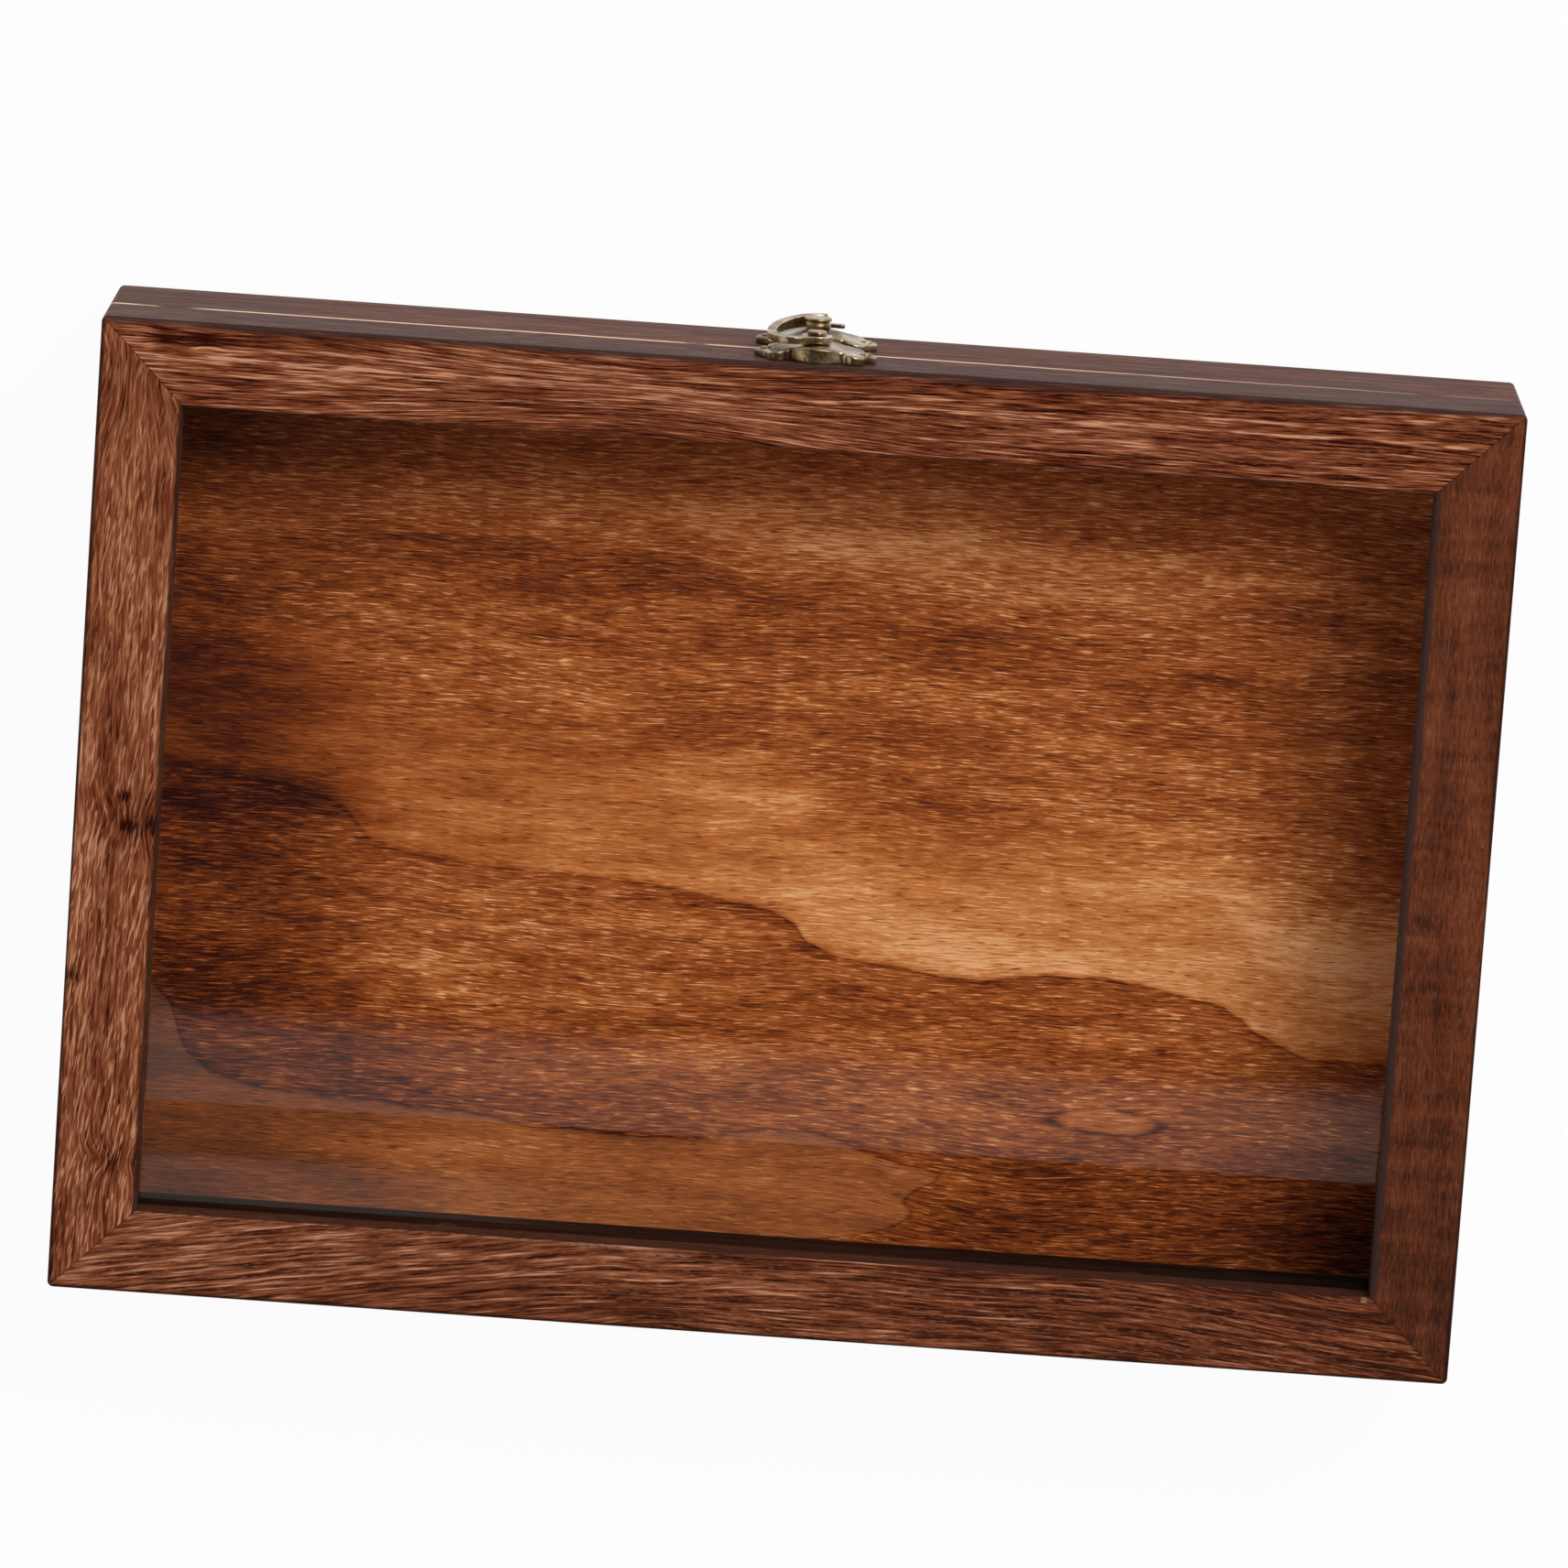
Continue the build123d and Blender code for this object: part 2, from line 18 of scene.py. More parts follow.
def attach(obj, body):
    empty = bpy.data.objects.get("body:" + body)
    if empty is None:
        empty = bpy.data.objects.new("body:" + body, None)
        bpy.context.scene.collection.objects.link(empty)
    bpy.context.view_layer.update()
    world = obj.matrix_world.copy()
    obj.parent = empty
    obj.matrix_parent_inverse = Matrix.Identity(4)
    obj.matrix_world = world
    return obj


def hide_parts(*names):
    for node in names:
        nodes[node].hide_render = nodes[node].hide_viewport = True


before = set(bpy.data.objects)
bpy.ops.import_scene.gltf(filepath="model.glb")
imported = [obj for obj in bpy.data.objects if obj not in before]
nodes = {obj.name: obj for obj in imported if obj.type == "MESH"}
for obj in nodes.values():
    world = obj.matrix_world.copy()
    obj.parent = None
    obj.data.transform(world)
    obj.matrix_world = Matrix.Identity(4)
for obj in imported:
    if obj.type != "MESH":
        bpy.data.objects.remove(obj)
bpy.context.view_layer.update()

MM = 0.001
CASE_HALF_WIDTH = 175 * MM
CASE_HALF_DEPTH = 122.5 * MM

# %% [markdown]
# ## The camera
#
# The case was photographed from almost straight above, through a long lens, so its far edge is
# hardly shorter than its near one. The camera could be turned by hand until it looks right. Here
# it is worked out from four numbers that can be read off such a picture: how far it is above the
# horizon, how far it is rolled, how far away it is and how wide its view is.

# %% Place the camera
PICTURE_WIDTH = 1713
SENSOR_WIDTH = 36
FOCAL_PIXELS = 10934
CAMERA_ELEVATION = radians(79.2)
CAMERA_ROLL = radians(184.02)
CAMERA_DISTANCE = 2.5
CAMERA_TARGET = Vector((0.0004, -0.0122, 0.025))

ahead = Vector((0, cos(CAMERA_ELEVATION), -sin(CAMERA_ELEVATION)))
level = Vector((1, 0, 0))
upright = level.cross(ahead)
picture_right = level * cos(CAMERA_ROLL) + upright * sin(CAMERA_ROLL)
picture_up = upright * cos(CAMERA_ROLL) - level * sin(CAMERA_ROLL)

camera_data = bpy.data.cameras.new("camera")
camera_data.sensor_width = SENSOR_WIDTH
camera_data.lens = FOCAL_PIXELS / PICTURE_WIDTH * SENSOR_WIDTH
camera_data.clip_start = 0.05
camera_data.clip_end = 100
camera = bpy.data.objects.new("camera", camera_data)
turn = Matrix((picture_right, picture_up, -ahead)).transposed().to_4x4()
camera.matrix_world = Matrix.Translation(CAMERA_TARGET - ahead * CAMERA_DISTANCE) @ turn
bpy.context.scene.collection.objects.link(camera)
bpy.context.scene.camera = camera
print("lens:", round(camera_data.lens, 1), "mm")

# %% [markdown]
# ## Writing shaders as sums
#
# A finish is a tree of nodes, and most of those nodes are arithmetic. Adding them one by one
# hides the idea behind the wiring. A small class can wrap a socket, so that a sum of two sockets
# adds the Math node that works it out. A second class holds the tree of one finish, and one method
# adds every other kind of node: its settings go in first, because some of them change the sockets.


# %% A socket that can be added, multiplied and compared
class Wire:
    """One output of a node. Arithmetic on wires adds Math nodes to the finish."""

    def __init__(self, finish, socket):
        self.finish = finish
        self.socket = socket

    def __add__(self, other):
        return self.finish.math("ADD", self, other)

    def __radd__(self, other):
        return self.finish.math("ADD", other, self)

    def __sub__(self, other):
        return self.finish.math("SUBTRACT", self, other)

    def __rsub__(self, other):
        return self.finish.math("SUBTRACT", other, self)

    def __mul__(self, other):
        return self.finish.math("MULTIPLY", self, other)

    def __truediv__(self, other):
        return self.finish.math("DIVIDE", self, other)

    def __abs__(self):
        return self.finish.math("ABSOLUTE", self)

    def least(self, other):
        return self.finish.math("MINIMUM", self, other)

    def most(self, other):
        return self.finish.math("MAXIMUM", self, other)

    def between(self, low, high):
        """0 up to low, 1 from high, and smooth between them; low may be the larger."""
        settings = {"interpolation_type": "SMOOTHSTEP"}
        inputs = {"Value": self, "From Min": low, "From Max": high}
        return self.finish.node("ShaderNodeMapRange", settings, inputs)

    def bell(self, width):
        """1 where the value is 0, one half at the width, and less beyond it."""
        share = self / width
        return self.finish.math("POWER", 0.5, share * share)

    def along_curve(self, points):
        """The height of a smooth curve through points, both from 0 to 1."""
        return self.finish.node("ShaderNodeFloatCurve", {"curve": points}, {"Value": self})


# %% The node tree of one finish
class Finish:
    """A material and its node tree, made one node at a time."""

    def __init__(self, name):
        self.material = bpy.data.materials.new(name)
        self.material.use_nodes = True
        self.tree = self.material.node_tree
        self.tree.nodes.clear()

    def node(self, kind, settings=None, inputs=None, output=0):
        """Add a node: its settings, then the values or wires of its sockets."""
        made = self.tree.nodes.new(kind)
        for name, value in (settings or {}).items():
            if name == "stops":
                self.set_stops(made.color_ramp, value)
            elif name == "curve":
                self.set_curve(made.mapping, value)
            else:
                setattr(made, name, value)
        for name, value in (inputs or {}).items():
            if isinstance(value, Wire):
                self.tree.links.new(value.socket, made.inputs[name])
            else:
                made.inputs[name].default_value = value
        return Wire(self, made.outputs[output]) if made.outputs else None

    def set_stops(self, ramp, stops):
        while len(ramp.elements) < len(stops):
            ramp.elements.new(0.5)
        for element, (place, colour) in zip(ramp.elements, stops):
            element.position = place
            element.color = (*colour, 1)

    def set_curve(self, mapping, points):
        curve = mapping.curves[0]
        while len(curve.points) < len(points):
            curve.points.new(0.5, 0.5)
        for point, place in zip(curve.points, points):
            point.location = place
        mapping.update()

    def math(self, operation, first, second=0.0):
        return self.node("ShaderNodeMath", {"operation": operation}, {0: first, 1: second})

    def place(self):
        """The point being shaded, in metres, as three wires."""
        point = self.node("ShaderNodeTexCoord", output="Object")
        return [
            self.node("ShaderNodeSeparateXYZ", inputs={"Vector": point}, output=axis)
            for axis in range(3)
        ]

    def point(self, x, y, z):
        return self.node("ShaderNodeCombineXYZ", inputs={"X": x, "Y": y, "Z": z})

    def noise(self, point, stretch, seed, detail=2.0, roughness=0.5):
        """Noise whose cells are 1 / stretch metres long on each axis."""
        inputs = {0: point, 1: stretch, 2: (seed * 3.7, seed * 5.3, seed * 7.1)}
        moved = self.node("ShaderNodeVectorMath", {"operation": "MULTIPLY_ADD"}, inputs)
        inputs = {"Vector": moved, "Scale": 1.0, "Detail": detail, "Roughness": roughness}
        return self.node("ShaderNodeTexNoise", {"noise_dimensions": "3D"}, inputs)

    def blend(self, share, first, second, how="MIX"):
        """The first colour, or the second one where share is 1."""
        first, second = ((*c, 1) if isinstance(c, tuple) else c for c in (first, second))
        settings = {"data_type": "RGBA", "blend_type": how}
        return self.node("ShaderNodeMix", settings, {0: share, 6: first, 7: second}, output=2)

    def bump(self, height, distance, strength=1.0, normal=None):
        inputs = {"Height": height, "Distance": distance, "Strength": strength}
        if normal is not None:
            inputs["Normal"] = normal
        return self.node("ShaderNodeBump", inputs=inputs)

    def looked_at(self):
        """1 for what the camera sees, straight or through glass, and 0 for light on its way."""
        seen = self.node("ShaderNodeLightPath", output="Is Camera Ray")
        through = self.node("ShaderNodeLightPath", output="Is Transmission Ray")
        scattered = self.node("ShaderNodeLightPath", output="Diffuse Depth")
        mirrored = self.node("ShaderNodeLightPath", output="Glossy Depth")
        return seen.most(through - scattered - mirrored)

    def surface(self, shader):
        self.node("ShaderNodeOutputMaterial", inputs={"Surface": shader})
        return self.material

    def principled(self, **inputs):
        """A Principled shader, with its sockets given by name."""
        named = {name.replace("_", " "): value for name, value in inputs.items()}
        return self.node("ShaderNodeBsdfPrincipled", inputs=named)


# %% Two helpers for every finish
def spot(x, y, middle, side, reach, width):
    """1 at a place and less around it. The place and the two widths are in millimetres."""
    return (x - middle * MM).bell(reach * MM) * (y - side * MM).bell(width * MM)


def dress(material, *names):
    """Give nodes of the case a material."""
    for name in names:
        mesh = nodes[name].data
        mesh.materials.clear()
        mesh.materials.append(material)
    print(material.name, "on", ", ".join(names))


# %% [markdown]
# ## A pale room
#
# The case lies on a plain pale sheet. A bare white world would put a milky veil on the glass, as
# it would in a real room, so photographers hang the lamps to the sides and keep the ceiling dark.
# The world here does the same: pale towards the horizon, dark overhead. What the camera sees
# directly is plain white, and the sheet keeps the shadow of the case.
#
# An underside is part of an object too, and the sheet would hide it. So the sheet is cut out
# just inside the outline of the case, where the case covers the hole, and its back is clear.

# %% Set the room
scene = bpy.context.scene
scene.view_settings.view_transform = "Standard"
ROOM_LIGHT = 0.62
CEILING_LIGHT = 0.02
# How steeply a ray looks up, from 0 when level to 1, where the room starts and ends darkening.
DARKER_FROM = 0.35
DARKEST_AT = 0.9

room = bpy.data.worlds.new("room")
room.use_nodes = True
room.node_tree.nodes.clear()
scene.world = room


class RoomLight(Finish):
    """The node tree of the world, with the same way of adding nodes."""

    def __init__(self, world):
        self.tree = world.node_tree


walls = RoomLight(room)
direction = walls.node("ShaderNodeTexCoord", output="Generated")
height = walls.node("ShaderNodeSeparateXYZ", inputs={"Vector": direction}, output=2)
shade = walls.node(
    "ShaderNodeMapRange",
    {"interpolation_type": "SMOOTHSTEP"},
    {
        "Value": height,
        "From Min": DARKER_FROM,
        "From Max": DARKEST_AT,
        "To Min": ROOM_LIGHT,
        "To Max": CEILING_LIGHT,
    },
)
white_share = walls.looked_at()
strength = shade * (1 - white_share) + white_share
glow = walls.node("ShaderNodeBackground", inputs={"Color": (1, 1, 1, 1), "Strength": strength})
walls.node("ShaderNodeOutputWorld", inputs={"Surface": glow})

print("light from the walls:", ROOM_LIGHT, "and from the ceiling:", CEILING_LIGHT)

# %% Lay the sheet
SHEET_REACH = 20
SHEET_HEIGHT = -0.1 * MM
UNDER_CASE = 2 * MM
SHEET_WHITE = (0.9, 0.9, 0.9, 1)
WHITENESS_SEEN = 0.95

sheet_mesh = bpy.data.meshes.new("sheet")
sheet_form = bmesh.new()
bmesh.ops.create_grid(sheet_form, x_segments=1, y_segments=1, size=1)
half_width, half_depth = CASE_HALF_WIDTH + SHEET_REACH, CASE_HALF_DEPTH + SHEET_REACH
for point in sheet_form.verts:
    point.co = (point.co.x * half_width, point.co.y * half_depth, SHEET_HEIGHT)
under = sheet_form.faces[:]
bmesh.ops.inset_region(
    sheet_form, faces=under, thickness=SHEET_REACH + UNDER_CASE, use_boundary=True, use_even_offset=True
)
bmesh.ops.delete(sheet_form, geom=under, context="FACES")
sheet_form.to_mesh(sheet_mesh)
sheet_form.free()
sheet = bpy.data.objects.new("sheet", sheet_mesh)
scene.collection.objects.link(sheet)

paper = Finish("pale_sheet")
lit = paper.node("ShaderNodeBsdfDiffuse", inputs={"Color": SHEET_WHITE})
plain = paper.node("ShaderNodeEmission", inputs={"Color": (1, 1, 1, 1), "Strength": 1.0})
mirrored = paper.node("ShaderNodeLightPath", output="Is Glossy Ray")
white_share = paper.looked_at().most(mirrored) * WHITENESS_SEEN
front = paper.node("ShaderNodeMixShader", inputs={0: white_share, 1: lit, 2: plain})
clear = paper.node("ShaderNodeBsdfTransparent")
from_below = paper.node("ShaderNodeNewGeometry", output="Backfacing")
sheet_mesh.materials.append(
    paper.surface(paper.node("ShaderNodeMixShader", inputs={0: from_below, 1: front, 2: clear}))
)
hole = min(abs(point.co.x) for point in sheet_mesh.vertices)
print("sheet faces:", len(sheet_mesh.polygons), "half width of the hole:", round(hole, 4), "m")

# %% [markdown]
# ## The lamps
#
# Two large soft lamps stand outside the patch of ceiling that the glass mirrors towards the
# camera. The stronger one is in front and to the left, so the front wall and the left wall shade
# the floor of the case. A lamp's power is worked out from the light wanted on a flat surface, so
# that colours come out about as they are written.
#
# The glass still mirrors something: a dim card hangs inside that patch of ceiling, bright in one
# band and, past a gap, in a corner. Only mirrored rays see it. Its edges are placed on the pane and
# thrown back up to the card's height, as a mirror would.


# %% Hang the lamps
LAMP_POWER = 9.87  # watts at a metre for one unit of light on a flat surface: pi squared
CASE_MIDDLE = (0, 0, 0.03)


def hang_lamp(name, place, aim, width, length, light):
    """A rectangular lamp that gives a flat white surface at its aim that much light."""
    place, aim = Vector(place), Vector(aim)
    data = bpy.data.lights.new(name, "AREA")
    data.shape = "RECTANGLE"
    data.size = width
    data.size_y = length
    data.energy = light * LAMP_POWER * (place - aim).length_squared
    lamp = bpy.data.objects.new(name, data)
    lamp.location = place
    lamp.rotation_mode = "QUATERNION"
    lamp.rotation_quaternion = (aim - place).to_track_quat("-Z", "Y")
    lamp.visible_camera = False
    scene.collection.objects.link(lamp)
    print(name, "lamp:", round(data.energy, 1), "W")


hang_lamp("key", (-1.1, -1.5, 2.0), CASE_MIDDLE, 1.4, 1.4, 0.72)
hang_lamp("fill", (1.9, 0.9, 1.5), CASE_MIDDLE, 1.6, 1.6, 0.22)

# %% Hang the card
CARD_HEIGHT = 2.05
PANE_TOP = 50 * MM
CARD_ON_PANE = [(-170, 30), (170, 115)]  # two corners of where the pane shows it, in millimetres
BAND_LIGHT = 0.66
CORNER_LIGHT = 0.58
eye = camera.matrix_world.translation
mirror_share = (eye.z - PANE_TOP) / (eye.z + CARD_HEIGHT - 2 * PANE_TOP)


def mirrored_in_pane(across, back):
    """The place on the card that the camera sees in a place on the pane, both in millimetres."""
    return eye.x + (across * MM - eye.x) / mirror_share, eye.y + (back * MM - eye.y) / mirror_share


card_mesh = bpy.data.meshes.new("card")
card_form = bmesh.new()
(left, front), (right, back) = (mirrored_in_pane(*corner) for corner in CARD_ON_PANE)
card_corners = [(left, front), (left, back), (right, back), (right, front)]
card_form.faces.new([card_form.verts.new((*corner, CARD_HEIGHT)) for corner in card_corners])
card_form.to_mesh(card_mesh)
card_form.free()
card = bpy.data.objects.new("card", card_mesh)
card.visible_camera = False
card.visible_diffuse = False
card.visible_transmission = False
card.visible_shadow = False
scene.collection.objects.link(card)

shine = Finish("card_shine")
card_place = shine.place()


def risen(axis, low, high):
    """0 up to one place on the pane and 1 from another, along an axis of the card."""
    low, high = (mirrored_in_pane(place, place)[axis] for place in (low, high))
    return card_place[axis].between(low, high)


band = risen(1, 47, 58) * risen(1, 74.6, 74.0)
corner = risen(1, 86, 91) * (risen(0, 30, 105) * 0.8 + risen(0, -60, 160) * 0.2)
light = band * BAND_LIGHT + corner * CORNER_LIGHT
glimmer = shine.node("ShaderNodeEmission", inputs={"Strength": light})
card_mesh.materials.append(shine.surface(glimmer))
print("card:", [round(value, 3) for value in (left, right, front, back)])

# %% [markdown]
# ## Stained wood
#
# The rails and walls are an open-grained hardwood, stained a dark red-brown and sealed thinly.
# Close up it is a weave of long dark vessels, tan fibres that took less stain, and broader clouds
# of tone. A picture of wood wrapped round each rail would be easy, but it would run across the
# mitres and stretch at the edges. Here the grain is solid: noise drawn out along the length of
# each piece, so the top, the sides and the rounded edges of a rail agree. Each piece gets its own
# seed, tone and figure, since no two pieces of wood match.
#
# A figure is a few numbers, and its lengths are millimetres. Sweeps are places along the piece
# from which the grain leans outwards. Knots, chips and pale lines have a place, a size and a
# strength, and the fibres run round a knot. The rest says how dark, how fine and how wavy the
# fibres are, what wear has done to the edges, and how much shade and sheen are painted on them.

# %% Sizes that the wood's figure follows
RAIL_WIDTH = 21 * MM
SEAM_HEIGHT = 33 * MM
CASE_HEIGHT = 55 * MM
WALL_THICKNESS = 13.5 * MM
UNDER_PANE = 47 * MM
SWEEP_ROUND = 14 * MM
BARE_DEPTH = 1.4 * MM
MITRE_LINE = 0.22 * MM
DARKEST_KNOT = 0.85

# The tones of the stain, from the vessels that drank most to the fibres that took least.
STAIN_TONES = [
    (0.0, (0.026, 0.0025, 0.0008)),
    (0.25, (0.118, 0.024, 0.007)),
    (0.5, (0.205, 0.053, 0.020)),
    (0.75, (0.325, 0.108, 0.047)),
    (1.0, (0.620, 0.290, 0.165)),
]
DARK_STAIN = (0.026, 0.004, 0.002)
PALE_FIBRE = (0.600, 0.270, 0.140)
RAW_WOOD = (0.95, 0.60, 0.40)
# Colours of painted shade along the inner edges of the rails.
SHADE_SLATE = (0.040, 0.022, 0.019)
SHADE_UMBER = (0.037, 0.012, 0.007)
# A grey-brown painted on the outer sides as the sheen of a grazing reflection.
SHEEN_GREY = (0.070, 0.029, 0.023)
WASHED = (0.13, 0.062, 0.036)
TORN_WOOD = (0.400, 0.210, 0.125)
# Black painted in as shade on the inner faces below the pane.
SHADE_BLACK = (0.004, 0.002, 0.0015)


# %% The stained wood of one rail or wall
def stained_wood(name, grain, seed, **figure):
    """Wood whose grain runs along X or Y. Lengths in the figure are millimetres."""
    f = Finish(name)
    x, y, z = f.place()
    along, across = (x, y) if grain == "X" else (y, x)
    straight = across

    # The grain leans in a sweep, runs round a knot and wanders everywhere.
    for start, slope in figure.get("sweeps", ()):
        run = along - start * MM
        rounded = f.math("SQRT", run * run + SWEEP_ROUND * SWEEP_ROUND)
        across = across + (run + rounded if start > 0 else run - rounded) * (slope / 2)
    shift = 0.0
    dark = 0.0
    for middle, side, reach, width, depth in figure.get("knots", ()):
        knot = spot(along, across, middle, side, reach, width)
        shift = (across - side * MM) * knot * 0.9 + shift
        dark = knot * depth + dark
    drift = f.noise(f.point(along, across, z), (17, 50, 50), seed, detail=2.0) - 0.5
    waves = figure.get("waves", 4.0) * MM
    weave = f.point(along, across + drift * waves + shift, z)

    # Ribbons, hairs and clouds of tone, then what is particular to a piece.
    length = figure.get("length", 1.0)
    ribbons = f.noise(weave, (62 / length, 1280, 1280), seed + 1, detail=2.0, roughness=0.65)
    hairs = f.noise(weave, (170 / length, 2600, 2600), seed + 2, detail=1.0)
    clouds = f.noise(weave, (13, 95, 95), seed + 4, detail=3.0)
    tone = (ribbons - 0.5) * figure.get("ribbons", 2.7) + figure.get("tone", 0.5)
    tone = tone + along * (figure.get("slope", 0.0) / CASE_HALF_WIDTH)
    tone = tone + (hairs - 0.5) * figure.get("hairs", 1.2) + (clouds - 0.5) * figure.get("clouds", 0.65)
    if figure.get("curl"):
        bands = f.noise(f.point(along, across, z), (230, 45, 45), seed + 5, detail=3.0)
        tone = tone - (bands - 0.5) * figure["curl"]
    for side, width, strength in figure.get("pale_lines", ()):
        line = (across + drift * waves * 0.5 - side * MM).bell(width * MM)
        broken = f.noise(weave, (90, 700, 700), seed + 6).between(0.3, 0.55)
        tone = tone + line * broken * strength
    if figure.get("knots"):
        dark = dark.least(DARKEST_KNOT)
        tone = tone - dark
    colour = f.node("ShaderNodeValToRGB", {"stops": STAIN_TONES}, {"Fac": tone})

    # A pale wash, pale flecks that took no stain, and dark pores.
    colour = f.blend(figure.get("wash", 0.0), colour, WASHED)
    lean = across - along * figure.get("lean", 0.0)
    fleck_length = figure.get("fleck_length", 1.0)
    flecks = f.noise(f.point(along, lean, z), (360 / fleck_length, 2100, 2100), seed + 3, detail=1.0)
    fleck_mask = flecks.between(0.55, 0.68) * figure.get("flecks", 0.35)
    fleck_mask = fleck_mask * (clouds.between(0.35, 0.55) * 0.7 + 0.3) * (1 - dark)
    colour = f.blend(fleck_mask, colour, PALE_FIBRE)
    pores = f.noise(f.point(along, lean, z), (170, 1900, 1900), seed + 8, detail=1.0)
    colour = f.blend(pores.between(0.6, 0.72) * figure.get("pores", 0.5), colour, DARK_STAIN)

    # Dark mitres, a grey sheen painted on the sides, painted shade along the top outer edge, and painted
    # black shade on the inner faces below the pane.
    edge_x = CASE_HALF_WIDTH - abs(x)
    edge_y = CASE_HALF_DEPTH - abs(y)
    mitre = (edge_x - edge_y).bell(MITRE_LINE)
    colour = f.blend(mitre * 0.6, colour, DARK_STAIN)
    outside = edge_x.least(edge_y)
    # Painted sheen: the outer sides are mixed towards the grey-brown that a grazing reflection gives them.
    side_sheen = outside.between(0.7 * MM, 0.3 * MM) * figure.get("side", 0.55)
    colour = f.blend(side_sheen, colour, SHEEN_GREY)
    # Painted shade: a dark, uneven line along the top outer edge.
    arris = figure.get("arris", 1.2)
    uneven_edge = outside + (clouds - 0.5) * (arris * 1.6 * MM)
    edge_shade_line = z.between(CASE_HEIGHT - 2.4 * MM, CASE_HEIGHT - 1.2 * MM)
    edge_shade_line = edge_shade_line * uneven_edge.between(arris * MM, arris * 0.4 * MM)
    colour = f.blend(edge_shade_line * 0.8, colour, figure.get("arris_shade_colour", DARK_STAIN))
    # Painted shade: the inner faces of walls and rails below the pane are made black, as the case shades
    # them.
    in_shade = outside.between(WALL_THICKNESS - 0.3 * MM, WALL_THICKNESS + 0.4 * MM)
    in_shade = in_shade * z.between(UNDER_PANE + 0.4 * MM, UNDER_PANE)
    colour = f.blend(in_shade * figure.get("below_pane_shade", 0.6), colour, SHADE_BLACK)

    # Chips, then a bare line along the top of a wall, or painted shade along the inner edge of a rail.
    for middle, side, reach, width, strength in figure.get("chips", ()):
        chip = spot(along, straight, middle, side, reach, width)
        torn = f.noise(f.point(x, y, z), (500, 1500, 1500), seed + 9).between(0.36, 0.5)
        colour = f.blend(chip.between(0.2, 0.7) * torn * strength, colour, TORN_WOOD)
    if figure.get("part") == "wall":
        bare = z.between(SEAM_HEIGHT - BARE_DEPTH - 0.5 * MM, SEAM_HEIGHT - BARE_DEPTH)
        worn = f.noise(f.point(x, y, z), (60, 60, 60), seed + 7, detail=3.0).between(0.28, 0.45)
        if figure.get("bare_fade"):
            gone, whole = figure["bare_fade"]
            worn = worn * along.between(gone * MM, whole * MM)
        colour = f.blend(bare * outside.between(1.0 * MM, 0.8 * MM) * worn, colour, RAW_WOOD)
    else:
        # Painted shade: a dark, ragged band along the inner edge of a rail, where the lip shades the
        # opening.
        inner_edge = figure.get("inner_edge", 0.35)
        ragged = outside + (clouds - 0.5) * (inner_edge * 0.9 * MM)
        dark_from, dark_at = RAIL_WIDTH - inner_edge * 1.1 * MM, RAIL_WIDTH - inner_edge * 0.4 * MM
        inside = ragged.between(dark_from, dark_at) * figure.get("inner_shade_amount", 0.6)
        colour = f.blend(inside, colour, figure.get("inner_shade_colour", SHADE_SLATE))

    shader = f.principled(
        Base_Color=colour,
        Roughness=ribbons.between(0.7, 0.4) * 0.16 + 0.42,
        Specular_IOR_Level=0.05,
        Normal=f.bump(ribbons * 0.7 + hairs * 0.4, 0.0003, 0.5),
    )
    return f.surface(shader)


